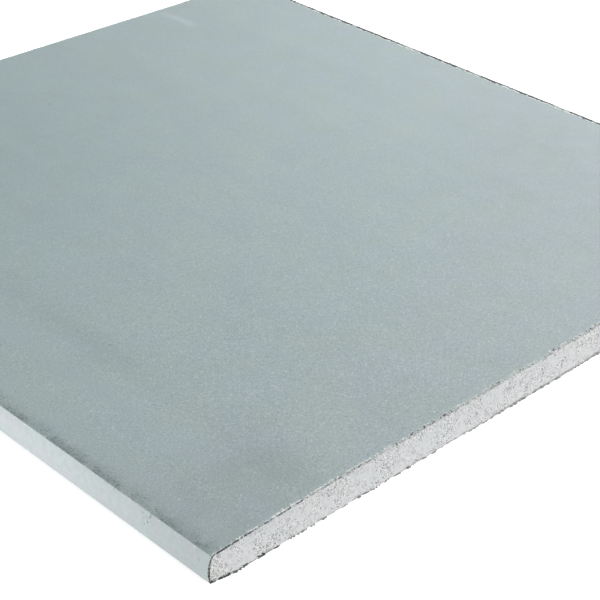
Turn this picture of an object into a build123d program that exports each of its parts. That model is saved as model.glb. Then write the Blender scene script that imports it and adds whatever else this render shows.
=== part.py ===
from build123d import *
import math
import os

# A cut panel of paper-faced gypsum board, lying flat with its good side up.
# Millimetres. X runs across the board, Y along its factory edge, Z up.
# The origin is the middle of the underside.

# Panel
panel_width = 322.0
panel_length = 330.0
panel_thickness = 12.5

# Papers
face_paper_thickness = 0.4
back_paper_thickness = 0.3
fold_width = 28.0

# Factory edge, on the -X side: tapered on top, crowned on its side, relieved below
taper_width = 40.0
taper_depth = 1.2
crown_radius = 10.4
nose_height = 5.6
relief_width = 10.0
relief_rise = 1.4
arris_radius = 0.9
heel_radius = 0.9

# How far the uncut section runs past the sawn side
saw_overrun = 6.0

# Places that several pieces share
nose_x = -panel_width / 2
sawn_x = panel_width / 2
core_floor = back_paper_thickness
relief_x = nose_x + relief_width
fold_x = nose_x + fold_width
taper_x = nose_x + taper_width


def crown_x(height):
    """Where the crowned side of the factory edge stands at a height."""
    rise = height - nose_height
    return nose_x + crown_radius - math.sqrt(crown_radius**2 - rise**2)


def span(left, right, low, high):
    """A rectangle of the section, from its four sides."""
    corner = Align.MIN, Align.MIN
    return Pos(left, low) * Rectangle(right - left, high - low, align=corner)


def wrapped_section():
    """Core and face paper together, before the board is sawn to width."""
    uncut_x = sawn_x + saw_overrun
    arris_height = panel_thickness - taper_depth
    heel_height = core_floor + relief_rise
    arris = Vector(crown_x(arris_height), arris_height)
    nose = Vector(nose_x, nose_height)
    heel = Vector(crown_x(heel_height), heel_height)
    outline = Polyline(
        arris,
        (taper_x, panel_thickness),
        (uncut_x, panel_thickness),
        (uncut_x, core_floor),
        (relief_x, core_floor),
        heel,
    )
    crown = ThreePointArc(heel, nose, arris)
    section = make_face(outline.edges() + crown.edges())
    for corner, radius in ((arris, arris_radius), (heel, heel_radius)):
        vertex = section.vertices().sort_by_distance(corner)[0]
        section = fillet(vertex, radius)
    return section


def face_paper_section(wrapped):
    """Paper over the top and round the factory edge, folded in under the core."""
    inner = offset(wrapped, amount=-face_paper_thickness)
    fold_top = core_floor + face_paper_thickness
    bare_underside = span(fold_x, sawn_x + saw_overrun, core_floor, fold_top)
    board = span(nose_x, sawn_x, core_floor, panel_thickness)
    return (wrapped - inner - bare_underside) & board


def core_section(wrapped, face_paper):
    """Gypsum inside the face paper, sawn to width."""
    board = span(nose_x, sawn_x, core_floor, panel_thickness)
    return (wrapped & board) - face_paper


def back_paper_section():
    """Flat backing under the core, lapped over the folded face paper."""
    return span(relief_x, sawn_x, 0, back_paper_thickness)


def sawn_length(section):
    """A section run along the factory edge and sawn square at both ends."""
    return extrude(Plane.XZ * section, amount=panel_length / 2, both=True)


wrapped = wrapped_section()
face_paper = face_paper_section(wrapped)
pieces = {
    "gypsum_core": core_section(wrapped, face_paper),
    "face_paper": face_paper,
    "back_paper": back_paper_section(),
}

os.makedirs("parts", exist_ok=True)
for name, section in pieces.items():
    export_step(sawn_length(section), f"parts/{name}.step")
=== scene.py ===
import math
from collections import namedtuple

import bmesh
import bpy
import numpy as np
from mathutils import Matrix, Vector, noise


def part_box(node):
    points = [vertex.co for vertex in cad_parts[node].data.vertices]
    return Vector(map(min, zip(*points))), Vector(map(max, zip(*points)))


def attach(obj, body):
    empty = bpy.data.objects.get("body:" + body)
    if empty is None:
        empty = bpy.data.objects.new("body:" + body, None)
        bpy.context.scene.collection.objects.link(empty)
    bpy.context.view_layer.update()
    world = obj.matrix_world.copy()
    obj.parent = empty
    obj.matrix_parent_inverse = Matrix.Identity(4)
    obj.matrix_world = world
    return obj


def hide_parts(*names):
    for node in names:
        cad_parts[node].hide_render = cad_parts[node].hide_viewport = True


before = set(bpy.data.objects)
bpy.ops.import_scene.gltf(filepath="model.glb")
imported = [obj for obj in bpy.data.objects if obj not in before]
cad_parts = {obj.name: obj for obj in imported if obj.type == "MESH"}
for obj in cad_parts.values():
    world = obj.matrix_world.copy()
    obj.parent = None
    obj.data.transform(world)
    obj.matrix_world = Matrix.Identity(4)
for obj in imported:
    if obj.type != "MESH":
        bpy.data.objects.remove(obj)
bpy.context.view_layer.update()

# A cut panel of paper-faced gypsum board, in metres, in the frame of its solids.
# The factory edge is on -X. The near end, the +X side and the far end are sawn.

# Places read from the frame
core_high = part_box("gypsum_core")[1]
face_low, face_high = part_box("face_paper")
back_low, back_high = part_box("back_paper")
NOSE_X = face_low.x
SAWN_X = face_high.x
NEAR_Y = face_low.y
FAR_Y = face_high.y
TOP_Z = face_high.z
FLOOR_Z = back_low.z
BACK_Z = back_high.z
FACE_PAPER = TOP_Z - core_high.z
BACK_X = back_low.x

# Section of the factory edge
TAPER_WIDTH = 0.040
TAPER_DEPTH = 0.0012
CROWN_RADIUS = 0.0104
NOSE_HEIGHT = 0.0056
RELIEF_RISE = 0.0014
FOLD_WIDTH = 0.028
BEND_LENGTH = 0.0004

# Spacing of the meshes
FINE_STEP = 0.00005
PAPER_STEP = 0.00024
CORE_STEP = 0.00036
CROWN_POINTS = 40
SIDE_STATIONS = 12
SIDE_CUTS = 80
CORE_ROWS = 34
FIELD_INSET = 0.004
SPIKE_CORNERS = 4

# Camera, fitted to the edges of the panel in a square picture
PICTURE_PIXELS = 600
FOCAL_PIXELS = 1673.8
SENSOR_MM = 36.0
CAMERA_PLACE = Vector((-0.4084, -0.4426, 0.3241))
CAMERA_AXIS = Vector((0.6089, 0.6004, -0.5184))
CAMERA_UP = Vector((0.3464, 0.3866, 0.8547))

# Fixed shifts of the noises, and how much finer and fainter each octave is than the last
LINE_SHIFTS = (0.37, 0.61)
POINT_SHIFTS = (0.29, 0.53, 0.71)
OCTAVE_STEP = 2.1
OCTAVE_FALL = 0.9


def wander(places, wavelength, seed):
    """Smooth noise of about -1 to 1 along a line of places."""
    row, level = LINE_SHIFTS
    return np.array([noise.noise(Vector((p / wavelength, seed + row, level))) for p in places])


def grain(points, wavelength, seed, octaves):
    """Smooth noise of about -1 to 1 at points in space."""
    column, row, level = POINT_SHIFTS
    shift = Vector((seed + column, row, level))
    shifted = [Vector(p) / wavelength + shift for p in points]
    return np.array([noise.fractal(p, OCTAVE_FALL, OCTAVE_STEP, octaves) for p in shifted])


def blend_between(value, low, high):
    """0 below low, 1 above high, and a smooth step between them."""
    t = np.clip((value - low) / (high - low), 0, 1)
    return t * t * (3 - 2 * t)


def between(ends, share):
    """The value at a share of the way from the first end to the second."""
    return ends[0] + (ends[1] - ends[0]) * share


def roughened(shares, slow, quick, least=0):
    """An even share with shares of a slow and a quick noise added, and no less than a least share."""
    even_share, slow_share, quick_share = shares
    return np.clip(even_share + slow_share * slow + quick_share * quick, least, None)


def lengths_along(points):
    """Distance of each point from the first, along the line of points."""
    steps = np.linalg.norm(np.diff(points, axis=0), axis=1)
    return np.concatenate([[0], np.cumsum(steps)])


def respaced(points, step):
    """The same line with evenly spaced points."""
    lengths = lengths_along(points)
    count = max(2, int(round(lengths[-1] / step)) + 1)
    at = np.linspace(0, lengths[-1], count)
    return np.column_stack([np.interp(at, lengths, points[:, k]) for k in range(points.shape[1])])


# Section

def crown_x(z):
    """Where the crowned side of the factory edge stands at a height."""
    return NOSE_X + CROWN_RADIUS - math.sqrt(CROWN_RADIUS**2 - (z - NOSE_HEIGHT) ** 2)


HEEL_Z = BACK_Z + RELIEF_RISE
ARRIS_Z = TOP_Z - TAPER_DEPTH
ARRIS_X = crown_x(ARRIS_Z)
TAPER_X = NOSE_X + TAPER_WIDTH
FOLD_X = NOSE_X + FOLD_WIDTH


def wrapped_outline():
    """Outside of the face paper in section, from the end of its fold round to the sawn side."""
    crown = [(crown_x(z), z) for z in np.linspace(HEEL_Z, ARRIS_Z, CROWN_POINTS)]
    corners = [(FOLD_X, BACK_Z), (BACK_X, BACK_Z), *crown, (TAPER_X, TOP_Z), (SAWN_X, TOP_Z)]
    line = respaced(np.array(corners), FINE_STEP)
    window = int(BEND_LENGTH / FINE_STEP) | 1
    ends = window // 2
    padded = np.pad(line, ((ends, ends), (0, 0)), mode="reflect", reflect_type="odd")
    kernel = np.ones(window) / window
    soft = np.column_stack([np.convolve(padded[:, k], kernel, mode="valid") for k in range(2)])
    return respaced(soft, PAPER_STEP)


def outward(line):
    """Unit normals of a section line, to the left of its direction."""
    along = np.gradient(line, axis=0)
    along /= np.linalg.norm(along, axis=1)[:, None]
    return np.column_stack([-along[:, 1], along[:, 0]])


def core_heights(x):
    """Lowest and highest point of the core in section at a distance across the panel."""
    taper = TAPER_DEPTH * np.clip((TAPER_X - x) / (TAPER_X - ARRIS_X), 0, None)
    relief = RELIEF_RISE * np.clip((BACK_X - x) / (BACK_X - crown_x(HEEL_Z)), 0, None)
    inner_radius = CROWN_RADIUS - FACE_PAPER
    across = np.minimum(x - NOSE_X - CROWN_RADIUS, 0)
    reach = np.sqrt(np.clip(inner_radius**2 - across**2, 0, None))
    fold = np.where(x < FOLD_X, FACE_PAPER, 0)
    high = np.minimum(TOP_Z - FACE_PAPER - taper, NOSE_HEIGHT + reach)
    low = np.maximum(BACK_Z + fold + relief, NOSE_HEIGHT - reach)
    return low, high


# Lines of points round the three sawn sides

def drawn_in(section, inset):
    """Places across the panel of a section's points, drawn in from the sawn side."""
    shrink = (SAWN_X - inset - NOSE_X) / (SAWN_X - NOSE_X)
    return NOSE_X + (section[:, 0] - NOSE_X) * shrink


def border_line(section, inset):
    """Points along the near end, the sawn side and the far end, at a distance in from the cut."""
    x = drawn_in(section, inset)
    near = np.column_stack([x, np.full(len(x), NEAR_Y + inset), section[:, 1]])
    far = np.column_stack([x, np.full(len(x), FAR_Y - inset), section[:, 1]])
    y = np.linspace(NEAR_Y + inset, FAR_Y - inset, SIDE_STATIONS * SIDE_CUTS + 1)[1:-1]
    side = np.column_stack([np.full(len(y), SAWN_X - inset), y, np.full(len(y), section[-1, 1])])
    return np.vstack([near, side, far[::-1]])


def by_side(count, near, side, far):
    """One value for each point of a border line, from the values of its three sides."""
    along_side = SIDE_STATIONS * SIDE_CUTS - 1
    return np.concatenate([np.full(count, near), np.full(along_side, side), np.full(count, far)])


def inward_directions(count):
    """The way into the panel at each point of a border line."""
    x = by_side(count, 0.0, -1.0, 0.0)
    y = by_side(count, 1.0, 0.0, -1.0)
    return np.column_stack([x, y, np.zeros(len(x))])


def strips(lines):
    """Four-sided faces between neighbouring lines of vertex numbers."""
    faces = []
    for a, b in zip(lines, lines[1:]):
        faces += np.column_stack([a[:-1], a[1:], b[1:], b[:-1]]).tolist()
    return faces


def placed(name, data):
    """A new object in the scene."""
    made = bpy.data.objects.new(name, data)
    bpy.context.scene.collection.objects.link(made)
    return made


class Shell:
    """Vertices, faces and painted values of one closed mesh."""

    def __init__(self):
        self.points = []
        self.faces = []
        self.painted = {}
        self.count = 0

    def line(self, points, **values):
        """Adds a line of vertices with its painted values and returns their numbers."""
        self.points.append(points)
        numbers = np.arange(self.count, self.count + len(points))
        self.count += len(points)
        self.paint(numbers, **values)
        return numbers

    def paint(self, numbers, **values):
        """Gives vertices painted values."""
        for name, value in values.items():
            self.painted.setdefault(name, []).append((numbers, value))

    def field(self, inner, section, stations):
        """Fills the inside of a border line, with lines of vertices across the panel at its stations."""
        count = len(section)
        side = inner[count - 1:len(inner) - count + 1]
        jump = SIDE_STATIONS * SIDE_CUTS // stations
        rows = [inner[:count - 1]]
        x = drawn_in(section[:-1], FIELD_INSET)
        for y in np.linspace(NEAR_Y + FIELD_INSET, FAR_Y - FIELD_INSET, stations + 1)[1:-1]:
            rows.append(self.line(np.column_stack([x, np.full(len(x), y), section[:-1, 1]])))
        rows.append(inner[::-1][:count - 1])
        self.faces += strips(rows)
        for k in range(stations):
            cut = side[k * jump:(k + 1) * jump + 1].tolist()
            self.faces.append([rows[k][-1], *cut, rows[k + 1][-1]])
        return rows

    def sheet(self, section, inner, outer, edge):
        """Closes a sheet from the rows beside its cut and down its cut edge; returns the lines across."""
        inside = self.line(border_line(inner, FIELD_INSET))
        self.faces += strips(outer)
        self.faces += strips([outer[0], *edge, inside])
        rows = self.field(outer[-1], section, SIDE_STATIONS)
        self.field(inside, inner, 1)
        start = [line[0] for line in outer] + [row[0] for row in rows[1:-1]]
        end = [line[-1] for line in outer[::-1]] + [line[-1] for line in edge]
        back = [inside[-1], inside[0]] + [line[0] for line in edge[::-1]]
        self.faces.append([int(v) for v in start + end + back])
        return rows

    def spikes(self, corners, **values):
        """Adds slim closed spikes, each from the three corners of its base and its tip."""
        numbers = self.line(corners.reshape(-1, 3), **values).reshape(-1, SPIKE_CORNERS)
        for face in ((0, 1, 2), (0, 3, 1), (1, 3, 2), (2, 3, 0)):
            self.faces += numbers[:, face].tolist()

    def build(self, name, material):
        """Makes the object, with its faces turned outward."""
        mesh = bpy.data.meshes.new(name)
        mesh.from_pydata(np.vstack(self.points).tolist(), [], self.faces)
        for label, parts in self.painted.items():
            values = np.zeros(self.count)
            for numbers, value in parts:
                values[numbers] = value
            layer = mesh.attributes.new(label, "FLOAT", "POINT")
            layer.data.foreach_set("value", values)
        shaped = bmesh.new()
        shaped.from_mesh(mesh)
        bmesh.ops.recalc_face_normals(shaped, faces=shaped.faces)
        shaped.to_mesh(mesh)
        shaped.free()
        mesh.materials.append(material)
        return placed(name, mesh)


# Face paper

# Rows beside a cut: how far in each lies and the share of the tear that it follows
TEAR_MIDDLE = 0.0008
TORN_ROWS = ((0.0, 0.0), (0.00038, 0.5), (0.00076, 1.0))
# Past the tear, also the shares of bared ply and of white burr that show there
WHOLE_ROWS = (
    (0.00084, 1.0, 0.7, 1.0),
    (0.0013, 0.8, 0.35, 0.5),
    (0.0019, 0.4, 0.1, 0.0),
    (FIELD_INSET, 0.0, 0.0, 0.0),
)
CUT_SHARES = (0.35, 0.7)
CUT_BURR_SHARE = 0.5

# Sizes of the tears, with the near end's setback where it is clean and where it is frayed
NEAR_SETBACKS = (0.00028, 0.00052)
NEAR_TEAR = 0.0007
CLEAN_TEAR = 0.0002
SIDE_SETBACK = 0.0001
SIDE_TEAR = 0.00155
FAR_TEAR = 0.0003
SHORTEST_TEAR = 0.00005
FACE_RAGGED = 0.0003
RAGGED_REACH = 0.0006
BURR_HEIGHT = 0.00016
PLY_DEPTH = 0.00012
CORNER_REACH = 0.002
NICK_X = 0.1185
NICK_WIDTH = 0.0009

# How far from the arris the near end is cut clean, loses its clean line, is frayed and is shaggy
CLEAN_CUT = 0.012
MIXED_CUT = 0.030
FRAYED_CUT = 0.110
SHAGGY_CUT = 0.200

# Noises along the cuts: wavelength and seed
SPECK_WAVE = 0.0013
TEAR_NOISE = (0.0055, 1)
RAGGED_NOISE = (0.0016, 2)
DASH_NOISE = (0.0018, 3)
SPECK_NOISE = (SPECK_WAVE, 4)
FLECK_NOISE = (0.0016, 5)
STRETCH_NOISE = (0.014, 6)
FACE_CUT_SEED = 7
SIDE_DASH_NOISE = (0.0042, 9)
BIT_NOISES = ((0.0024, 13), (0.0007, 14))

# The values of a noise at which its marks set in and are full
DASH_SPAN = (-0.12, 0.05)
SPECK_SPAN = (0.05, 0.2)
FLECK_SPAN = (-0.15, 0.1)
STRETCH_SPAN = (-0.2, 0.15)
BIT_SPAN = (-0.05, 0.12)

# Shares of an even value, a slow noise and a quick noise
NEAR_TEAR_SHARES = (0.6, 0.8, 0.6)
SIDE_TEAR_SHARES = (1.0, 0.4, 0.4)
FAR_TEAR_SHARES = (0.8, 1.0, 0.0)
SIDE_DASH_SHARES = (0.95, 1.3, 0.4)
SIDE_LEAST_SHARE = 0.5
QUICK_SHARE = 0.3

# Near end: shares at the two ends of what each changes with
NEAR_RAGGED_SHARES = (0.25, 1.0)
SHAGGY_SHARE = 0.7
FOLD_RAGGED_SHARES = (0.9, -0.6)
FOLD_DARK_SHARE = 0.8
CLEAN_DARK_SHARES = (0.68, 0.80)
DASH_DARK_SHARES = (0.48, 0.84)
CUT_DARK_SHARES = (1.0, 0.45)
TOP_DARK_SHARES = (0.6, 1.0)
CLEAN_BURR_SHARES = (0.45, 0.75)
OPENED_BURR_SHARES = (1.0, 0.6)
WHOLE_BURR_SHARES = (1.0, 0.7)

# Sawn side and far end
SIDE_RAGGED_SHARE = 0.5
SIDE_LIFT_SHARE = 0.5
SIDE_PLY_SHARE = 0.3
SIDE_BURR_SHARE = 1.4
SIDE_DARK_SHARE = 0.6
FAR_RAGGED_SHARE = 0.3
FAR_LIFT_SHARE = -0.3
FAR_PLY_SHARE = 0.6
FAR_BURR_SHARE = 0.5
FAR_DARK_SHARE = 0.15
FUZZ_SHARE = 0.5

# Torn bits along the foot, which crowd beside the nose and thin out where the liner hangs out
NOSE_BITS = 0.014
BACK_HANGS = (0.05, 0.14)
FINE_BIT_SHARE = 0.9
NOSE_BIT_SHARE = 1.2
HANG_BIT_SHARE = 0.12

# Grime and painted shade beside the arris, and painted shade in a streak past the taper
GRIME_SHADE_REACH = 0.0036
GRIME_SHADE_WRAP = 0.0002
ARRIS_REACH = 0.0007
RUBBED_SHARE = 0.5
# Painted shade: a darker streak on the flat just past the taper
STREAK_INSET = 0.007
STREAK_X = TAPER_X + STREAK_INSET
STREAK_REACH = 0.007

# How far the sheet stops short of a cut and its outer ply is torn back, how uneven both are, how far the
# torn ply is lifted, how much bare ply shows within the tear and in the fuzz past it, how white or dark
# the edges are, the dark being dark fibres and painted shadow, and how far the dark keeps to the rim of the
# torn ply
Tears = namedtuple("Tears", "setback tear ragged lift ply fuzz burr cut_dark top_dark rim")


def liner_hang(line):
    """How far the liner hangs out of a cut: 0 by the factory edge and 1 well away from it."""
    return blend_between(line[:, 0] - BACK_X, *BACK_HANGS)


def foot_bits(line):
    """Where torn bits of paper show along the foot of a cut: 1 on a bit and 0 between bits."""
    places = line[:, 0] + line[:, 1]
    coarse, fine = (wander(places, *bit_noise) for bit_noise in BIT_NOISES)
    by_nose = 1 - blend_between(line[:, 0] - NOSE_X, 0, NOSE_BITS)
    crowding = NOSE_BIT_SHARE * by_nose - HANG_BIT_SHARE * liner_hang(line)
    return blend_between(coarse + FINE_BIT_SHARE * fine + crowding, *BIT_SPAN)


def face_tears(line, count):
    """How the face paper is torn at each point of its border."""
    along = lengths_along(line)
    past = line[:, 0] - ARRIS_X
    on_face = (line[:, 2] > NOSE_HEIGHT) & (past > 0)
    on_crown = (line[:, 2] > HEEL_Z) & ~on_face
    on_fold = ~(on_face | on_crown)
    opened = np.where(on_face, blend_between(past, CLEAN_CUT, FRAYED_CUT), 0)
    shaggy = np.where(on_face, blend_between(past, FRAYED_CUT, SHAGGY_CUT), 0)
    whole = np.where(on_face, 1 - blend_between(past, CLEAN_CUT, MIXED_CUT), on_crown)
    past_arris = np.where(on_face, blend_between(past, 0, ARRIS_REACH), 0)
    slow = wander(along, *TEAR_NOISE)
    quick = wander(along, *RAGGED_NOISE)
    dashes = blend_between(wander(along, *DASH_NOISE) + QUICK_SHARE * quick, *DASH_SPAN)
    side_dashes = np.minimum(roughened(SIDE_DASH_SHARES, wander(along, *SIDE_DASH_NOISE), quick), 1)
    specks = blend_between(wander(along, *SPECK_NOISE), *SPECK_SPAN)
    flecks = blend_between(wander(along, *FLECK_NOISE) + QUICK_SHARE * quick, *FLECK_SPAN)
    stretches = blend_between(wander(along, *STRETCH_NOISE), *STRETCH_SPAN)
    bits = foot_bits(line)
    nick = np.exp(-((line[:, 0] - NICK_X) / NICK_WIDTH) ** 2)

    near_ragged = (between(NEAR_RAGGED_SHARES, opened) + SHAGGY_SHARE * shaggy) * (slow + quick)
    # Painted shadow and dark fibres: the dark at the near cut, in the gap under the paper's edge and by the
    # torn bits at the foot
    clean_dark = whole * between(CLEAN_DARK_SHARES, specks)
    frayed_dark = between((between(DASH_DARK_SHARES, dashes), specks), opened)
    near_dark = np.where(on_fold, FOLD_DARK_SHARE * bits, np.maximum(clean_dark, frayed_dark))
    clean_burr = whole * between(CLEAN_BURR_SHARES, flecks)
    frayed_burr = flecks * between(OPENED_BURR_SHARES, opened) * between(WHOLE_BURR_SHARES, whole)
    near = Tears(
        setback=past_arris * between(NEAR_SETBACKS, opened),
        tear=CLEAN_TEAR * whole + NEAR_TEAR * opened * roughened(NEAR_TEAR_SHARES, slow, quick),
        ragged=np.where(on_fold, between(FOLD_RAGGED_SHARES, bits), near_ragged),
        lift=-PLY_DEPTH * opened,
        ply=1.0,
        fuzz=opened,
        burr=past_arris * np.maximum(clean_burr, frayed_burr),
        cut_dark=near_dark * between(CUT_DARK_SHARES, opened),
        top_dark=near_dark * between(TOP_DARK_SHARES, whole),
        rim=opened,
    )
    side = Tears(
        setback=SIDE_SETBACK,
        tear=SIDE_TEAR * roughened(SIDE_TEAR_SHARES, slow, quick, SIDE_LEAST_SHARE),
        ragged=SIDE_RAGGED_SHARE * (slow + quick),
        lift=SIDE_LIFT_SHARE * PLY_DEPTH,
        ply=SIDE_PLY_SHARE,
        fuzz=FUZZ_SHARE,
        burr=SIDE_BURR_SHARE * flecks,
        # Painted shadow: a dark dashed line along the sawn side's cut
        cut_dark=SIDE_DARK_SHARE * side_dashes,
        top_dark=side_dashes,
        rim=0.0,
    )
    far = Tears(
        setback=0.0,
        tear=FAR_TEAR * roughened(FAR_TEAR_SHARES, slow, quick) + NICK_WIDTH * nick,
        ragged=FAR_RAGGED_SHARE * (slow + quick),
        lift=FAR_LIFT_SHARE * PLY_DEPTH,
        ply=FAR_PLY_SHARE,
        fuzz=FUZZ_SHARE,
        burr=FAR_BURR_SHARE * flecks,
        cut_dark=dashes,
        top_dark=np.maximum(FAR_DARK_SHARE * stretches, nick),
        rim=0.0,
    )
    place = by_side(count, 0, 1, 2)
    tears = Tears(*(np.choose(place, values) for values in zip(near, side, far)))
    from_corner = np.minimum(abs(along - along[count - 1]), abs(along - along[-count]))
    free = blend_between(from_corner, 0, CORNER_REACH)
    return tears._replace(
        setback=tears.setback * free,
        tear=between((TEAR_MIDDLE, SHORTEST_TEAR + tears.tear), free),
        ragged=FACE_RAGGED * tears.ragged * free,
    )


def face_wear_and_painted_light(section):
    """Grime and painted shade beside the arris, painted shade in a streak past the taper, painted light on
    the crowned side and the rubbed arris.
    """
    past = section[:, 0] - ARRIS_X
    on_side = (section[:, 1] > HEEL_Z) & (section[:, 1] < ARRIS_Z - GRIME_SHADE_WRAP)
    on_face = (section[:, 1] > NOSE_HEIGHT) & ~on_side
    from_arris = np.hypot(past, section[:, 1] - ARRIS_Z)
    return {
        "grime_and_shade": np.where(on_face, np.exp(-((past / GRIME_SHADE_REACH) ** 2)), 0),
        # painted shade in a streak past the taper
        "streak": np.where(on_face, np.exp(-(((section[:, 0] - STREAK_X) / STREAK_REACH) ** 2)), 0),
        # painted light: the crowned side is paler than the face
        "pale": 1.0 * on_side,
        "rubbed": np.where(on_side, RUBBED_SHARE * np.exp(-from_arris / ARRIS_REACH), 0),
    }


FIBRE_SEED = 5
FIBRE_COUNT = 2200
FIBRE_LENGTHS = (0.0004, 0.0011)
FIBRE_WIDTH = 0.00009
FIBRE_TURNS = (0.0, 2.1, 4.2)

# How common fibres are on the near end, the sawn side and the far end
FIBRE_SIDE_SHARES = (1.0, 0.8, 0.2)
# The least and most that a fibre leans out of the panel, up and along the cut
OUTWARD_SHARES = (0.1, 1.0)
UPWARD_SHARES = (-0.6, 0.5)
SIDEWAYS_SHARES = (-1.0, 1.0)
# How many fibres are dark, how dark these are, and how many are white
DARK_COUNT_SHARE = 0.45
DARKNESS_SHARE = 0.7
WHITE_COUNT_SHARE = 0.5


def add_fibres(shell, lip, inward, up, chance):
    """Loose fibres along a sawn edge, each a slim spike rooted in the paper."""
    draw = np.random.default_rng(FIBRE_SEED)
    places = draw.choice(len(lip), FIBRE_COUNT, p=chance / chance.sum())
    into = inward[places]
    above = up[places]
    sideways = np.cross(into, above)

    def spread(ends):
        return draw.uniform(*ends, (FIBRE_COUNT, 1))

    way = -into * spread(OUTWARD_SHARES) + above * spread(UPWARD_SHARES)
    way += sideways * spread(SIDEWAYS_SHARES)
    way /= np.linalg.norm(way, axis=1)[:, None]
    across = np.cross(way, above + into)
    across /= np.linalg.norm(across, axis=1)[:, None]
    third = np.cross(way, across)
    root = lip[places] + into * FIBRE_WIDTH
    tip = root + way * spread(FIBRE_LENGTHS)
    spokes = [across * math.cos(turn) + third * math.sin(turn) for turn in FIBRE_TURNS]
    base = [root + FIBRE_WIDTH * spoke for spoke in spokes]
    dark = np.repeat(draw.random(FIBRE_COUNT) < DARK_COUNT_SHARE, SPIKE_CORNERS)
    white = np.repeat(draw.random(FIBRE_COUNT) < WHITE_COUNT_SHARE, SPIKE_CORNERS)
    corners = np.stack([*base, tip], axis=1)
    shell.spikes(corners, ply=1.0, dark=DARKNESS_SHARE * dark, burr=1.0 * white)


def face_paper_shell():
    """Paper over the face and round the factory edge, frayed where it is sawn."""
    shell = Shell()
    section = wrapped_outline()
    normals = outward(section)
    inner = section - normals * FACE_PAPER
    count = len(section)
    first = border_line(section, 0)
    along = lengths_along(first)
    inward = inward_directions(count)
    up = np.zeros(first.shape)
    up[:count, [0, 2]] = normals
    up[count:-count, 2] = 1
    up[-count:, [0, 2]] = normals[::-1]
    tears = face_tears(first, count)
    # Grime and painted shade beside the arris, painted shade past the taper, painted light on the crowned
    # side and rubbed specks
    wear_and_painted_light = face_wear_and_painted_light(section)
    flat = np.zeros(len(first) - 2 * count)
    worn = {name: np.concatenate([value, flat, value[::-1]]) for name, value in wear_and_painted_light.items()}

    def row(place, share, lift):
        shift = share * (tears.tear - TEAR_MIDDLE) + tears.ragged * math.exp(-place / RAGGED_REACH)
        shift += tears.setback * (1 - (place / FIELD_INSET) ** 2)
        return border_line(section, place) + inward * shift[:, None] + up * lift[:, None]

    outer = []
    for place, share in TORN_ROWS:
        line = row(place, share, tears.lift)
        dark = tears.top_dark * (1 - tears.rim * (1 - share))
        outer.append(shell.line(line, ply=tears.ply, dark=dark, **worn))
    for place, share, ply, white in WHOLE_ROWS:
        burr = white * tears.burr
        dark = white**2 * tears.rim * tears.top_dark
        line = row(place, share, BURR_HEIGHT * burr)
        outer.append(shell.line(line, burr=burr, dark=dark, ply=ply * tears.fuzz, **worn))
    cut = {"ply": 1.0, "dark": tears.cut_dark, "burr": CUT_BURR_SHARE}
    edge = []
    for seed, share in enumerate(CUT_SHARES, start=FACE_CUT_SEED):
        line = row(0.0, 0.0, np.full(len(along), -FACE_PAPER * share))
        line += inward * (FACE_RAGGED * wander(along, SPECK_WAVE, seed))[:, None]
        edge.append(shell.line(line, **cut))
    hidden = border_line(inner, 0) + inward * (tears.ragged + tears.setback)[:, None]
    edge.append(shell.line(hidden, **cut))
    rows = shell.sheet(section, inner, outer, edge)
    for middle in rows[1:-1]:
        shell.paint(middle, **{name: value[:-1] for name, value in wear_and_painted_light.items()})

    on_top = first[:, 2] > ARRIS_Z
    frayed = on_top * blend_between(first[:, 0] - ARRIS_X, CLEAN_CUT, FRAYED_CUT)
    chance = by_side(count, *FIBRE_SIDE_SHARES) * frayed
    add_fibres(shell, row(0.0, 0.0, tears.lift), inward, up, chance)
    return shell


# Back paper

BACK_INSETS = (0.0, 0.0004, 0.0012, FIELD_INSET)
BACK_RAGGED = 0.0004
BACK_NOISES = ((0.0034, 11), (0.0012, 12))
BACK_CUT_SEED = 14
BACK_UNEVEN_SHARE = 0.7
BACK_CUT_SHARE = 0.5
FOOT_DUST_SHARE = 0.6

# How much evener it is where it hangs out, how far its bits reach elsewhere and there, and how far it hangs
HANG_EVEN_SHARE = 0.2
BIT_REACH_SHARES = (1.3, 0.52)
HANG_REACH_SHARE = 1.55


def back_paper_shell():
    """Plain liner under the core, torn along the saw cuts."""
    shell = Shell()
    span = np.array([(BACK_X, FLOOR_Z), (SAWN_X, FLOOR_Z)])
    section = respaced(span, PAPER_STEP)
    inner = section + np.array([0, BACK_Z - FLOOR_Z])
    count = len(section)
    first = border_line(section, 0)
    along = lengths_along(first)
    inward = inward_directions(count)
    slow, quick = (wander(along, *back_noise) for back_noise in BACK_NOISES)
    hanging = liner_hang(first)
    bits = foot_bits(first)
    uneven = BACK_UNEVEN_SHARE * (slow + quick) * (1 - HANG_EVEN_SHARE * hanging)
    reach = bits * between(BIT_REACH_SHARES, hanging) + HANG_REACH_SHARE * hanging
    ragged = BACK_RAGGED * (uneven + 1 - reach)

    def row(level, inset, extra=0.0):
        shift = ragged * math.exp(-inset / BACK_INSETS[1]) + extra
        return border_line(level, inset) + inward * shift[:, None]

    outer = []
    for inset in BACK_INSETS:
        at_cut = inset == 0
        dust = FOOT_DUST_SHARE * (1 - bits)
        outer.append(shell.line(row(section, inset), torn=bits * at_cut, dust=dust * at_cut))
    edge = []
    for seed, share in enumerate(CUT_SHARES, start=BACK_CUT_SEED):
        extra = BACK_RAGGED * BACK_CUT_SHARE * wander(along, SPECK_WAVE, seed)
        line = row(section + (inner - section) * share, 0.0, extra)
        edge.append(shell.line(line, torn=bits, dust=1 - bits))
    edge.append(shell.line(row(inner, 0.0), torn=bits, dust=1 - bits))
    shell.sheet(section, inner, outer, edge)
    return shell


# Gypsum core

CORE_START = 0.0005
ROUGHNESS_DEPTH = 0.00022
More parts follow.
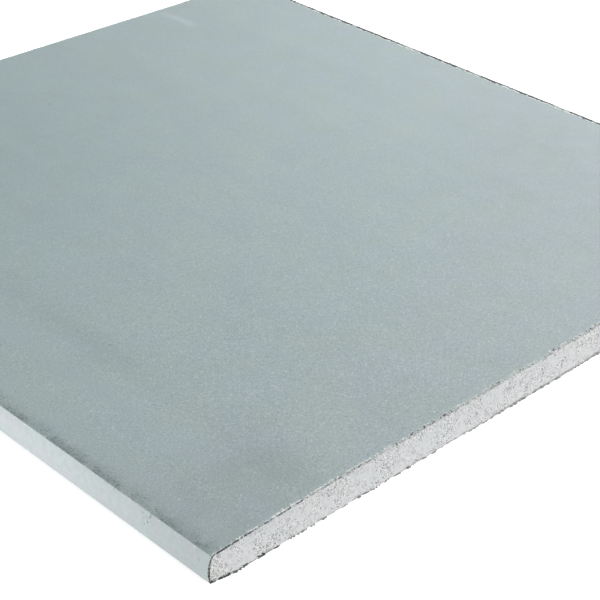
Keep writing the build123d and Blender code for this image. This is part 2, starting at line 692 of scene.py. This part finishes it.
# Wavelength, seed and octaves of the coarse and the fine roughness
ROUGH_NOISES = ((0.004, 21, 4), (0.0011, 22, 2))
EVEN_ROUGH_SHARE = 0.6
FINE_ROUGH_SHARE = 0.5
HOLLOW_SEED = 7
PIT_COUNT = 5000
PIT_RADII = (0.0003, 0.0006)
PIT_DEPTH_SHARES = (0.5, 1.2)
# The higher this power, the fewer pits are large
PIT_POWER = 3
CHIP_COUNT = 900
CHIP_WIDTHS = (0.0004, 0.0014)
CHIP_HEIGHTS = (0.0002, 0.0006)
CHIP_DEPTHS = (0.0002, 0.0007)
FOOT_CHIP_SHARE = 0.8
CAP_COLUMNS = 8


def scoop(depth, along, heights, centre, size):
    """Deepens a patch of the cut face by a rounded hollow."""
    s, z = centre
    half_width, half_height, deep = size
    low, high = np.searchsorted(along, (s - half_width, s + half_width))
    if high <= low:
        return
    across = ((along[low:high] - s) / half_width)[None, :]
    tall = (heights[:, low:high] - z) / half_height
    hollow = deep * np.sqrt(np.clip(1 - across**2 - tall**2, 0, None))
    depth[:, low:high] = np.maximum(depth[:, low:high], hollow)


def core_hollows(along, heights):
    """Depth of the pits over the cut faces, and of the chips along their edges."""
    draw = np.random.default_rng(HOLLOW_SEED)
    depth = np.zeros(heights.shape)
    for _ in range(PIT_COUNT):
        radius = between(PIT_RADII, draw.random() ** PIT_POWER)
        centre = (draw.uniform(0, along[-1]), draw.uniform(BACK_Z, TOP_Z))
        scoop(depth, along, heights, centre, (radius, radius, radius * draw.uniform(*PIT_DEPTH_SHARES)))
    for _ in range(CHIP_COUNT):
        s = draw.uniform(0, along[-1])
        edge = 0 if draw.random() < FOOT_CHIP_SHARE else -1
        z = heights[edge, min(np.searchsorted(along, s), len(along) - 1)]
        size = [draw.uniform(*ends) for ends in (CHIP_WIDTHS, CHIP_HEIGHTS, CHIP_DEPTHS)]
        scoop(depth, along, heights, (s, z), size)
    return depth


def core_shell():
    """Gypsum with rough, pitted faces where it is sawn."""
    shell = Shell()
    span = np.array([(NOSE_X + FACE_PAPER + CORE_START, 0), (SAWN_X, 0)])
    x = respaced(span, CORE_STEP)[:, 0]
    low, high = core_heights(x)
    count = len(x)
    foot = border_line(np.column_stack([x, low]), 0)
    head = border_line(np.column_stack([x, high]), 0)
    along = lengths_along(foot * np.array([1, 1, 0]))
    inward = inward_directions(count)
    shares = np.linspace(0, 1, CORE_ROWS)
    lines = [foot + (head - foot) * share for share in shares]
    heights = np.array([line[:, 2] for line in lines])

    numbers = []
    for share, line, hollow in zip(shares, lines, core_hollows(along, heights)):
        coarse, fine = (grain(line, *rough_noise) for rough_noise in ROUGH_NOISES)
        rough = EVEN_ROUGH_SHARE + coarse + FINE_ROUGH_SHARE * fine
        sunk = line + inward * (hollow + ROUGHNESS_DEPTH * np.clip(rough, 0, None))[:, None]
        # The pit depth carries painted shade, and low carries painted light, 1 at the foot and 0 at the head
        numbers.append(shell.line(sunk, pit=hollow / PIT_RADII[1], low=1 - share))
    shell.faces += strips(numbers)
    for border in (numbers[0], numbers[-1]):
        near = border[:count - CAP_COLUMNS]
        far = border[::-1][:count - CAP_COLUMNS]
        shell.faces += strips([near, far])
        shell.faces.append(border[len(near) - 1:len(border) - len(far) + 1].tolist())
    nose = [line[0] for line in numbers] + [line[-1] for line in numbers[::-1]]
    shell.faces.append([int(v) for v in nose])
    return shell


# Materials

# Soft rims of pores and specks, in cells and as a share
PORE_RIM = 0.12
SPECK_RIM_SHARE = 0.15
# Detail and roughness of the noise that makes specks, and the values of it that count
SPECK_DETAIL = (2.0, 0.6)
SPECK_RANGE = (0.32, 0.68)

# Values of a noise that are stretched to a full range, from a soft change to a crisp one
SOFT_RANGE = (0.30, 0.70)
MILD_RANGE = (0.35, 0.65)
FIRM_RANGE = (0.38, 0.62)
CRISP_RANGE = (0.40, 0.60)


class Surface:
    """A material's node tree, with short calls for the nodes that it uses."""

    def __init__(self, name):
        self.material = bpy.data.materials.new(name)
        self.material.use_nodes = True
        self.tree = self.material.node_tree
        self.place = self.node("ShaderNodeTexCoord", {}).outputs["Object"]

    def feed(self, node, inputs):
        """Links a node's inputs to sockets, or gives them fixed values."""
        for name, value in inputs.items():
            if isinstance(value, bpy.types.NodeSocket):
                self.tree.links.new(value, node.inputs[name])
            else:
                node.inputs[name].default_value = value

    def node(self, kind, inputs, **settings):
        """A new node with its settings and what feeds its inputs."""
        made = self.tree.nodes.new(kind)
        for name, value in settings.items():
            setattr(made, name, value)
        self.feed(made, inputs)
        return made

    def sized(self, size, stretch=(1, 1, 1)):
        """Places in units of a size in metres."""
        inputs = {"Vector": self.place, "Scale": [k / size for k in stretch]}
        return self.node("ShaderNodeMapping", inputs).outputs["Vector"]

    def noise(self, size, detail=2.0, roughness=0.5, stretch=(1, 1, 1)):
        """Noise of about 0 to 1 with features of a size in metres."""
        looks = {"Scale": 1.0, "Detail": detail, "Roughness": roughness}
        inputs = {"Vector": self.sized(size, stretch), **looks}
        return self.node("ShaderNodeTexNoise", inputs).outputs["Fac"]

    def pores(self, size, smallest, largest):
        """Round pores, 1 inside and 0 outside, one to a cell; radii are in cells, and under 0 is none."""
        cells = self.node("ShaderNodeTexVoronoi", {"Vector": self.sized(size), "Scale": 1.0})
        pick = self.node("ShaderNodeSeparateColor", {"Color": cells.outputs["Color"]})
        radius = self.scaled(pick.outputs["Red"], 0.0, 1.0, smallest, largest)
        inside = self.math("SUBTRACT", radius, cells.outputs["Distance"])
        return self.scaled(inside, 0.0, PORE_RIM)

    def painted(self, name):
        """A value painted on the mesh."""
        return self.node("ShaderNodeAttribute", {}, attribute_name=name).outputs["Fac"]

    def distance(self, point):
        """Distance from a fixed point, in metres."""
        inputs = {0: self.place, 1: point}
        return self.node("ShaderNodeVectorMath", inputs, operation="DISTANCE").outputs["Value"]

    def scaled(self, value, low, high, to_low=0.0, to_high=1.0):
        """A value's range moved to another range, clamped."""
        ends = {"From Min": low, "From Max": high, "To Min": to_low, "To Max": to_high}
        return self.node("ShaderNodeMapRange", {"Value": value, **ends}).outputs["Result"]

    def math(self, operation, a, b):
        """Two values joined by an operation; each is a socket or a number."""
        return self.node("ShaderNodeMath", {0: a, 1: b}, operation=operation).outputs[0]

    def product(self, a, b):
        """One value times another."""
        return self.math("MULTIPLY", a, b)

    def dithered(self, share, size):
        """1 over about a share of the surface, in specks of a size in metres."""
        spread = self.scaled(self.noise(size, *SPECK_DETAIL), *SPECK_RANGE)
        return self.scaled(self.math("SUBTRACT", share, spread), 0.0, SPECK_RIM_SHARE)

    def mixed(self, factor, a, b):
        """Two colours mixed; each is a socket or a fixed colour."""
        mix = self.node("ShaderNodeMix", {"Factor": factor}, data_type="RGBA")
        sides = [number for number, socket in enumerate(mix.inputs) if socket.type == "RGBA"]
        for number, colour in zip(sides, (a, b)):
            self.feed(mix, {number: (*colour, 1.0) if isinstance(colour, tuple) else colour})
        return next(socket for socket in mix.outputs if socket.type == "RGBA")

    def bump(self, height, distance, strength, under=None):
        """A bump from a height of 0 to 1, over another bump if one is given."""
        inputs = {"Height": height, "Distance": distance, "Strength": strength}
        if under is not None:
            inputs["Normal"] = under
        return self.node("ShaderNodeBump", inputs).outputs["Normal"]

    def finish(self, colour, roughness, normal, specular):
        """Feeds the shader and returns the material."""
        inputs = {"Base Color": colour, "Roughness": roughness, "Normal": normal}
        self.feed(self.tree.nodes["Principled BSDF"], {**inputs, "Specular IOR Level": specular})
        return self.material


# Face paper's colours
FACE_GREEN = (0.446, 0.525, 0.521)
FACE_BLUE = (0.443, 0.520, 0.543)
COOL_GREEN = (0.403, 0.525, 0.521)
COOL_BLUE = (0.400, 0.520, 0.543)
FACE_PALE = (0.66, 0.74, 0.73)
FACE_DARK = (0.22, 0.275, 0.27)
# The crowned side's colours, paler than the face as painted light
SIDE_LIT_PALE = (0.575, 0.641, 0.641)
SIDE_LIT_WARM = (0.600, 0.627, 0.651)
RUBBED = (0.73, 0.78, 0.78)
TORN_WHITE = (0.86, 0.88, 0.87)
TORN_PLY = (0.57, 0.62, 0.59)
# Dark fibres and painted shadow along the cuts
TORN_DARK_AND_SHADOW = (0.065, 0.075, 0.072)
# Grime and painted shade beside the arris
GRIME_AND_SHADE = (0.175, 0.22, 0.215)

# Its noises: size of the features, detail, roughness and stretch
DRIFT = (0.016, 3.0)
LONG_STREAKS = (0.010, 3.0, 0.6, (1, 0.04, 1))
CLOUDS = (0.018, 4.0, 0.6)
FLECKS = (0.00058, 2.0, 0.5)
GRIME_SHADE_PATCHES = (0.006, 2.0)
STREAK_PATCHES = (0.03, 3.0)
SIDE_DRIFT = (0.007, 3.0)
SIDE_MOTTLING = (0.0022, 3.0, 0.65)
SMUDGE_AND_SHADE_PATCHES = (0.012, 3.0)
STROKES = (0.0006, 1.0, 0.5, (1, 1, 0.3))
NAP = (0.0007, 3.0, 0.6)
WAVES = (0.02, 2.0, 0.5)

# Its round specks: size of a cell, and the smallest and largest radius in cells
PALE_SPECKS = (0.0021, -0.9, 0.22)
DARK_SPECKS = (0.0024, -0.9, 0.18)
SIDE_SPECKS = (0.0028, -0.6, 0.16)

# Sizes of its scattered specks
GRIME_SHADE_SPECK = 0.0007
RUBBED_SPECK = 0.0009
PLY_SPECK = 0.0008
BURR_SPECK = 0.0007
DARK_SPECK = 0.0006

# Values of a noise at which a mark sets in and is full
PALE_FLECK_RANGE = (0.58, 0.66)
DARK_FLECK_RANGE = (0.41, 0.33)
STROKE_RANGE = (0.44, 0.36)

# How strongly each mark shows, at its weakest and its strongest or throughout
LONG_STREAK_SHARES = (0.0, 0.05)
CLOUD_SHARES = (0.01, 0.10)
PALE_FLECK_SHARES = (0.0, 0.58)
DARK_FLECK_SHARES = (0.0, 0.52)
GRIME_SHADE_PATCH_SHARES = (0.55, 1.25)
GRIME_SHADE_SHARE = 0.46
GRIME_SHADE_COUNT_SHARE = 0.42
GRIME_SHADE_SPECK_SHARE = 0.8
STREAK_SHARES = (0.04, 0.12)
MOTTLING_SHARES = (0.0, 0.12)
SIDE_SHADE_SHARES = (0.0, 0.11)
SIDE_SPECK_SHARE = 0.6
SIDE_LIGHT_SHARE = 0.9
SCUFF_SHARES = (0.0, 0.3)
SMUDGE_AND_SHADE_PATCH_SHARES = (0.4, 1.0)

# Its gloss, and the depth and strength of its bumps
FACE_ROUGHNESS = (0.66, 0.82)
FACE_SPECULAR = 0.3
NAP_BUMP = (0.00006, 0.8)
WAVE_BUMP = (0.0003, 0.2)

# The paper is coolest at a place towards the far left corner
COOL_MIDDLE = (-0.138, 0.135, TOP_Z)
COOL_REACH = 0.34

# The flecks are strong within the first reach of a place on the near end and faint past the second
WORN_MIDDLE = (-0.09, NEAR_Y, TOP_Z)
WORN_REACHES = (0.05, 0.27)
WORN_SHARES = (1.0, 0.4)

# Painted shade: the crowned side is darkest near the corner
SIDE_SHADE_MIDDLE = (NOSE_X, -0.140, NOSE_HEIGHT)
SIDE_SHADE_REACH = 0.05

# A pale curved scuff towards the far end; its reaches are where it is gone and where it is full
SCUFF_CENTRE = (0.0568, 0.1469, TOP_Z)
SCUFF_RADIUS = 0.0437
SCUFF_MIDDLE = (0.1000, 0.1490, TOP_Z)
SCUFF_REACHES = (0.015, 0.0075)
SCUFF_WIDTH = 0.0036

# Small dark dots
DOTS = ((-0.0079, 0.1108, TOP_Z), (-0.1116, -0.0595, TOP_Z), (NOSE_X, -0.1607, 0.0084))
DOT_RADIUS = 0.0007

# Soft dark smudges, and broad patches of painted shade: middle, radius and strength
SMUDGES_AND_SHADE = (
    ((-0.1196, -0.1450, TOP_Z), 0.015, 0.20),
    ((-0.1330, -0.1480, TOP_Z), 0.034, 0.20),
    ((-0.1169, -0.0606, TOP_Z), 0.014, 0.10),
    # Painted shade at the near corner of the crowned side and face
    ((NOSE_X, NEAR_Y, NOSE_HEIGHT), 0.06, 0.24),
    # Broad painted shade over the face, towards the far left and the right
    ((-0.05, 0.09, TOP_Z), 0.11, 0.12),
    ((0.15, -0.04, TOP_Z), 0.07, 0.12),
    ((0.10, -0.09, TOP_Z), 0.08, 0.12),
)

# Short strokes scratched into the crowned side; their reaches are where they are gone and full
SCRATCH_MIDDLE = (NOSE_X, -0.1366, 0.0096)
SCRATCH_REACHES = (0.0034, 0.0017)


def face_colour(paper, flecks):
    """Pale grey-green with a slow drift of tone, faint streaks and clouds, and fine flecks."""
    drift = paper.scaled(paper.noise(*DRIFT), *CRISP_RANGE)
    cool = paper.scaled(paper.distance(COOL_MIDDLE), 0.0, COOL_REACH, 1.0, 0.0)
    green = paper.mixed(cool, FACE_GREEN, COOL_GREEN)
    blue = paper.mixed(cool, FACE_BLUE, COOL_BLUE)
    colour = paper.mixed(drift, green, blue)
    streaks = paper.scaled(paper.noise(*LONG_STREAKS), *SOFT_RANGE, *LONG_STREAK_SHARES)
    clouds = paper.scaled(paper.noise(*CLOUDS), *SOFT_RANGE, *CLOUD_SHARES)
    colour = paper.mixed(paper.math("ADD", streaks, clouds), colour, FACE_DARK)
    worn = paper.scaled(paper.distance(WORN_MIDDLE), *WORN_REACHES, *WORN_SHARES)
    pale_flecks = paper.scaled(flecks, *PALE_FLECK_RANGE, *PALE_FLECK_SHARES)
    pale_flecks = paper.math("MAXIMUM", pale_flecks, paper.pores(*PALE_SPECKS))
    colour = paper.mixed(paper.product(worn, pale_flecks), colour, FACE_PALE)
    dark_flecks = paper.scaled(flecks, *DARK_FLECK_RANGE, *DARK_FLECK_SHARES)
    dark_flecks = paper.math("MAXIMUM", dark_flecks, paper.pores(*DARK_SPECKS))
    return paper.mixed(paper.product(worn, dark_flecks), colour, FACE_DARK)


def lit_side_colour(paper):
    """The crowned side's paper, painted paler than the face as painted light, mottled, speckled and with
    painted shade darkest near the corner.
    """
    tint = paper.scaled(paper.noise(*SIDE_DRIFT), *CRISP_RANGE)
    colour = paper.mixed(tint, SIDE_LIT_PALE, SIDE_LIT_WARM)
    mottling = paper.scaled(paper.noise(*SIDE_MOTTLING), *CRISP_RANGE, *MOTTLING_SHARES)
    # Painted shade, darker towards the near corner of the crowned side
    corner_shade = paper.scaled(paper.distance(SIDE_SHADE_MIDDLE), SIDE_SHADE_REACH, 0.0, *SIDE_SHADE_SHARES)
    specks = paper.product(paper.pores(*SIDE_SPECKS), SIDE_SPECK_SHARE)
    for mark in (mottling, corner_shade, specks):
        colour = paper.mixed(mark, colour, FACE_DARK)
    return colour


def worn_and_painted_light_colour(paper, colour):
    """The crowned side painted paler as painted light, grime and painted shade on the face beside it,
    painted shade in a streak past the taper, with specks rubbed along the arris.
    """
    uneven = paper.scaled(paper.noise(*GRIME_SHADE_PATCHES), *FIRM_RANGE, *GRIME_SHADE_PATCH_SHARES)
    # Grime and painted shade, darkest at the arris and fading onto the face, with dark specks
    grime_and_shade = paper.product(paper.painted("grime_and_shade"), uneven)
    colour = paper.mixed(paper.product(grime_and_shade, GRIME_SHADE_SHARE), colour, GRIME_AND_SHADE)
    specks = paper.dithered(paper.product(grime_and_shade, GRIME_SHADE_COUNT_SHARE), GRIME_SHADE_SPECK)
    colour = paper.mixed(paper.product(specks, GRIME_SHADE_SPECK_SHARE), colour, GRIME_AND_SHADE)
    # Painted shade in a patchy streak past the taper
    patches = paper.scaled(paper.noise(*STREAK_PATCHES), *FIRM_RANGE, *STREAK_SHARES)
    colour = paper.mixed(paper.product(paper.painted("streak"), patches), colour, FACE_DARK)
    # Painted light: the crowned side is paler than the face
    pale = paper.product(paper.painted("pale"), SIDE_LIGHT_SHARE)
    colour = paper.mixed(pale, colour, lit_side_colour(paper))
    return paper.mixed(paper.dithered(paper.painted("rubbed"), RUBBED_SPECK), colour, RUBBED)


def marked_colour(paper, colour):
    """A faint curved scuff, soft smudges and broad painted shade, a few dots and some scratched strokes."""
    past_arc = paper.math("SUBTRACT", paper.distance(SCUFF_CENTRE), SCUFF_RADIUS)
    off_arc = paper.math("ABSOLUTE", past_arc, 0.0)
    across = paper.scaled(off_arc, SCUFF_WIDTH, 0.0, *SCUFF_SHARES)
    along = paper.scaled(paper.distance(SCUFF_MIDDLE), *SCUFF_REACHES)
    colour = paper.mixed(paper.product(across, along), colour, FACE_PALE)
    uneven = paper.scaled(paper.noise(*SMUDGE_AND_SHADE_PATCHES), *MILD_RANGE, *SMUDGE_AND_SHADE_PATCH_SHARES)
    for middle, radius, strength in SMUDGES_AND_SHADE:
        smudge_and_shade = paper.scaled(paper.distance(middle), radius, 0.0, 0.0, strength)
        colour = paper.mixed(paper.product(smudge_and_shade, uneven), colour, FACE_DARK)
    for dot in DOTS:
        colour = paper.mixed(paper.scaled(paper.distance(dot), DOT_RADIUS, 0.0), colour, FACE_DARK)
    strokes = paper.scaled(paper.noise(*STROKES), *STROKE_RANGE)
    near = paper.scaled(paper.distance(SCRATCH_MIDDLE), *SCRATCH_REACHES)
    return paper.mixed(paper.product(strokes, near), colour, FACE_DARK)


def torn_colour(paper, colour):
    """Inner ply, white burr, and dark fibres with painted shadow along the saw cuts."""
    colour = paper.mixed(paper.dithered(paper.painted("ply"), PLY_SPECK), colour, TORN_PLY)
    colour = paper.mixed(paper.dithered(paper.painted("burr"), BURR_SPECK), colour, TORN_WHITE)
    return paper.mixed(paper.dithered(paper.painted("dark"), DARK_SPECK), colour, TORN_DARK_AND_SHADOW)


def face_paper_material():
    """Matte paper with a fine nap, worn, marked and torn, with painted light and painted shade."""
    paper = Surface("face_paper")
    flecks = paper.noise(*FLECKS)
    colour = face_colour(paper, flecks)
    for layer in (worn_and_painted_light_colour, marked_colour, torn_colour):
        colour = layer(paper, colour)
    roughness = paper.scaled(flecks, *SOFT_RANGE, *FACE_ROUGHNESS)
    normal = paper.bump(paper.noise(*NAP), *NAP_BUMP)
    normal = paper.bump(paper.noise(*WAVES), *WAVE_BUMP, normal)
    return paper.finish(colour, roughness, normal, FACE_SPECULAR)


# Back paper's colours, noises, specks and gloss
BACK_GREY = (0.38, 0.355, 0.31)
BACK_DARK = (0.24, 0.22, 0.185)
BACK_PALE = (0.52, 0.49, 0.43)
BACK_TORN = (0.42, 0.42, 0.415)
BACK_DUST = (0.72, 0.72, 0.71)
BACK_FIBRES = (0.0012, 4.0, 0.6, (1, 0.25, 1))
BACK_FIBRE_RANGE = (0.5, 0.25)
BACK_CLOUDS = (0.03, 3.0)
BACK_CLOUD_SHARES = (0.15, 0.6)
BACK_SPECK = 0.0006
BACK_ROUGHNESS = (0.8, 0.95)
BACK_BUMP = (0.0001, 0.5)
BACK_SPECULAR = 0.2


def back_paper_material():
    """Grey-brown recycled liner with coarse fibres, dusty where it is sawn."""
    paper = Surface("back_paper")
    fibres = paper.noise(*BACK_FIBRES)
    clouds = paper.scaled(paper.noise(*BACK_CLOUDS), *MILD_RANGE, *BACK_CLOUD_SHARES)
    colour = paper.mixed(clouds, BACK_GREY, BACK_PALE)
    colour = paper.mixed(paper.scaled(fibres, *BACK_FIBRE_RANGE), colour, BACK_DARK)
    colour = paper.mixed(paper.painted("dust"), colour, BACK_DUST)
    colour = paper.mixed(paper.dithered(paper.painted("torn"), BACK_SPECK), colour, BACK_TORN)
    roughness = paper.scaled(fibres, *SOFT_RANGE, *BACK_ROUGHNESS)
    normal = paper.bump(fibres, *BACK_BUMP)
    return paper.finish(colour, roughness, normal, BACK_SPECULAR)


# Gypsum's colours
GYPSUM_WHITE = (0.750, 0.767, 0.781)
GYPSUM_WARM = (0.767, 0.757, 0.729)
GYPSUM_COOL = (0.724, 0.762, 0.777)
GYPSUM_BRIGHT = (0.94, 0.95, 0.955)
GYPSUM_GREY = (0.44, 0.44, 0.435)
GYPSUM_PORE = (0.25, 0.25, 0.24)
GYPSUM_STAIN = (0.50, 0.46, 0.36)

# Its noises and pores, the values at which each sets in and is full, and how strongly it shows
TINT = (0.006, 2.0)
WARM_RANGE = (0.55, 0.75)
WARM_SHARES = (0.0, 0.6)
COOL_RANGE = (0.45, 0.30)
FOOT_LIGHT_SHARE = 0.4
GRAINS = (0.0005, 2.0, 0.6)
BRIGHT_RANGE = (0.52, 0.60)
GREY_RANGE = (0.48, 0.38)
CORE_PATCHES = (0.0045, 2.0)
CORE_PATCH_RANGE = (0.40, 0.56)
CORE_PATCH_SHARES = (0.15, 1.0)
CORE_PORES = (0.0007, -0.15, 0.45)
# Painted shade in the pits: depths at which it sets in and is full, and how strongly it shows
PIT_SHADE_RANGE = (0.1, 1.0)
PIT_SHADE_SHARES = (0.0, 0.2)
CORE_ROUGHNESS = (0.85, 0.95)
CORE_BUMP = (0.0002, 0.8)
CORE_SPECULAR = 0.2

# A warm stain low in the core beside the factory edge; its reaches are where it is gone and where it is full
STAIN_INSET = 0.002
STAIN_HEIGHT = 0.0030
STAIN_MIDDLE = (NOSE_X + STAIN_INSET, NEAR_Y, STAIN_HEIGHT)
STAIN_REACHES = (0.0035, 0.00105)
STAIN_SHARES = (0.0, 0.45)
STAIN_SPECK = 0.0008


def gypsum_material():
    """Off-white foamed gypsum, grainy and pitted where it is sawn, with painted shade in the pits and
    painted light, lighter towards the foot.
    """
    stone = Surface("gypsum")
    tint = stone.noise(*TINT)
    colour = stone.mixed(stone.scaled(tint, *WARM_RANGE, *WARM_SHARES), GYPSUM_WHITE, GYPSUM_WARM)
    colour = stone.mixed(stone.scaled(tint, *COOL_RANGE), colour, GYPSUM_COOL)
    # Painted light: the cut face is painted lighter towards the foot
    colour = stone.mixed(stone.product(stone.painted("low"), FOOT_LIGHT_SHARE), colour, GYPSUM_BRIGHT)
    grains = stone.noise(*GRAINS)
    patches = stone.scaled(stone.noise(*CORE_PATCHES), *CORE_PATCH_RANGE, *CORE_PATCH_SHARES)
    bright = stone.scaled(grains, *BRIGHT_RANGE)
    grey = stone.scaled(grains, *GREY_RANGE)
    pores = stone.pores(*CORE_PORES)
    for mark, shade in ((bright, GYPSUM_BRIGHT), (grey, GYPSUM_GREY), (pores, GYPSUM_PORE)):
        colour = stone.mixed(stone.product(patches, mark), colour, shade)
    # Painted shade in the pits, darker the deeper they are
    pits = stone.scaled(stone.painted("pit"), *PIT_SHADE_RANGE, *PIT_SHADE_SHARES)
    colour = stone.mixed(pits, colour, GYPSUM_PORE)
    stained = stone.scaled(stone.distance(STAIN_MIDDLE), *STAIN_REACHES, *STAIN_SHARES)
    colour = stone.mixed(stone.dithered(stained, STAIN_SPECK), colour, GYPSUM_STAIN)
    roughness = stone.scaled(grains, *SOFT_RANGE, *CORE_ROUGHNESS)
    normal = stone.bump(grains, *CORE_BUMP)
    return stone.finish(colour, roughness, normal, CORE_SPECULAR)


def add_piece(name, shell, material, node):
    """Builds a piece, rides it on the panel and lets it stand for its solid."""
    piece = shell.build(name, material)
    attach(piece, "root")
    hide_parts(node)


add_piece("gypsum_body", core_shell(), gypsum_material(), "gypsum_core")
add_piece("face_sheet", face_paper_shell(), face_paper_material(), "face_paper")
add_piece("back_sheet", back_paper_shell(), back_paper_material(), "back_paper")


# Camera

def add_camera():
    """The camera that sees the panel as the picture does."""
    data = bpy.data.cameras.new("camera")
    data.sensor_width = SENSOR_MM
    data.lens = FOCAL_PIXELS / PICTURE_PIXELS * SENSOR_MM
    camera = placed("camera", data)
    forward = CAMERA_AXIS.normalized()
    right = forward.cross(CAMERA_UP).normalized()
    turn = Matrix((right, right.cross(forward), -forward)).transposed()
    camera.matrix_world = Matrix.Translation(CAMERA_PLACE) @ turn.to_4x4()
    bpy.context.scene.camera = camera


# Light and floor

WORLD_LIGHT = 0.30
WORLD_COLOUR = (1, 1, 1, 1)
FLOOR_SIZE = 8.0
FLOOR_COLOUR = (0.80, 0.80, 0.80, 1.0)
FLOOR_GLOW = 0.78
# The floor is a hair over the underside, so that the two don't lie in one plane
FLOOR_CLEARANCE = 0.00005
FLOOR_HEIGHT = FLOOR_Z + FLOOR_CLEARANCE
FULL_LIGHT = math.pi**2

# Soft lamps: name, place, the point that each is aimed at, size, level there and colour
LAMPS = (
    ("far_left_soft_light", (-1.15, 0.60, 0.045), (-0.16, 0.0, 0.0), 0.085, 0.878, (1, 1, 1)),
    ("right_soft_light", (0.47, -0.019, 0.471), (0.1, 0.0, 0.0), 0.4, 0.692, (1.0, 0.975, 0.98)),
    ("front_soft_light", (0.0, -1.273, 0.711), (0.0, -0.16, 0.0), 0.6, 0.48, (1, 1, 1)),
    ("under_soft_light", (0.3, -0.5, -1.2), (0.0, 0.0, 0.0), 1.0, 0.65, (1, 1, 1)),
)


def add_lamp(name, place, aim, size, level, colour):
    """A square lamp that lights what faces it at aim to a level; 1 shows colours as written."""
    data = bpy.data.lights.new(name, "AREA")
    data.size = size
    data.color = colour
    reach = (Vector(place) - Vector(aim)).length
    data.energy = level * FULL_LIGHT * reach**2
    lamp = placed(name, data)
    lamp.visible_camera = False
    lamp.location = place
    lamp.rotation_euler = (Vector(aim) - Vector(place)).to_track_quat("-Z", "Y").to_euler()


def seen_directly(tree):
    """1 for a ray from the camera, or by way of a gloss or glass, and 0 for other light."""
    path = tree.nodes.new("ShaderNodeLightPath")
    total = path.outputs["Is Camera Ray"]
    for name in ("Is Glossy Ray", "Is Transmission Ray"):
        both = tree.nodes.new("ShaderNodeMath")
        both.operation = "MAXIMUM"
        tree.links.new(total, both.inputs[0])
        tree.links.new(path.outputs[name], both.inputs[1])
        total = both.outputs[0]
    return total


def add_world():
    """A dim even light all round, which looks white where it is seen."""
    world = bpy.data.worlds.new("studio")
    world.use_nodes = True
    tree = world.node_tree
    plain = tree.nodes["Background"]
    plain.inputs["Strength"].default_value = WORLD_LIGHT
    plain.inputs["Color"].default_value = WORLD_COLOUR
    white = tree.nodes.new("ShaderNodeBackground")
    white.inputs["Color"].default_value = WORLD_COLOUR
    mix = tree.nodes.new("ShaderNodeMixShader")
    tree.links.new(seen_directly(tree), mix.inputs[0])
    tree.links.new(plain.outputs[0], mix.inputs[1])
    tree.links.new(white.outputs[0], mix.inputs[2])
    tree.links.new(mix.outputs[0], tree.nodes["World Output"].inputs["Surface"])
    bpy.context.scene.world = world


def add_floor():
    """A pale floor that looks white where it is lit and keeps the panel's shadow."""
    half = FLOOR_SIZE / 2
    outline = ((-half, -half), (half, -half), (half, half), (-half, half))
    mesh = bpy.data.meshes.new("floor")
    mesh.from_pydata([(x, y, FLOOR_HEIGHT) for x, y in outline], [], [(0, 1, 2, 3)])
    material = bpy.data.materials.new("floor")
    material.use_nodes = True
    tree = material.node_tree
    tree.nodes.remove(tree.nodes["Principled BSDF"])
    matte = tree.nodes.new("ShaderNodeBsdfDiffuse")
    matte.inputs["Color"].default_value = FLOOR_COLOUR
    glow = tree.nodes.new("ShaderNodeEmission")
    strength = tree.nodes.new("ShaderNodeMath")
    strength.operation = "MULTIPLY"
    strength.inputs[1].default_value = FLOOR_GLOW
    both = tree.nodes.new("ShaderNodeAddShader")
    tree.links.new(seen_directly(tree), strength.inputs[0])
    tree.links.new(strength.outputs[0], glow.inputs["Strength"])
    tree.links.new(matte.outputs[0], both.inputs[0])
    tree.links.new(glow.outputs[0], both.inputs[1])
    tree.links.new(both.outputs[0], tree.nodes["Material Output"].inputs["Surface"])
    mesh.materials.append(material)
    floor = placed("floor", mesh)


add_camera()
add_world()
add_floor()
for lamp_values in LAMPS:
    add_lamp(*lamp_values)
bpy.context.scene.view_settings.view_transform = "Standard"
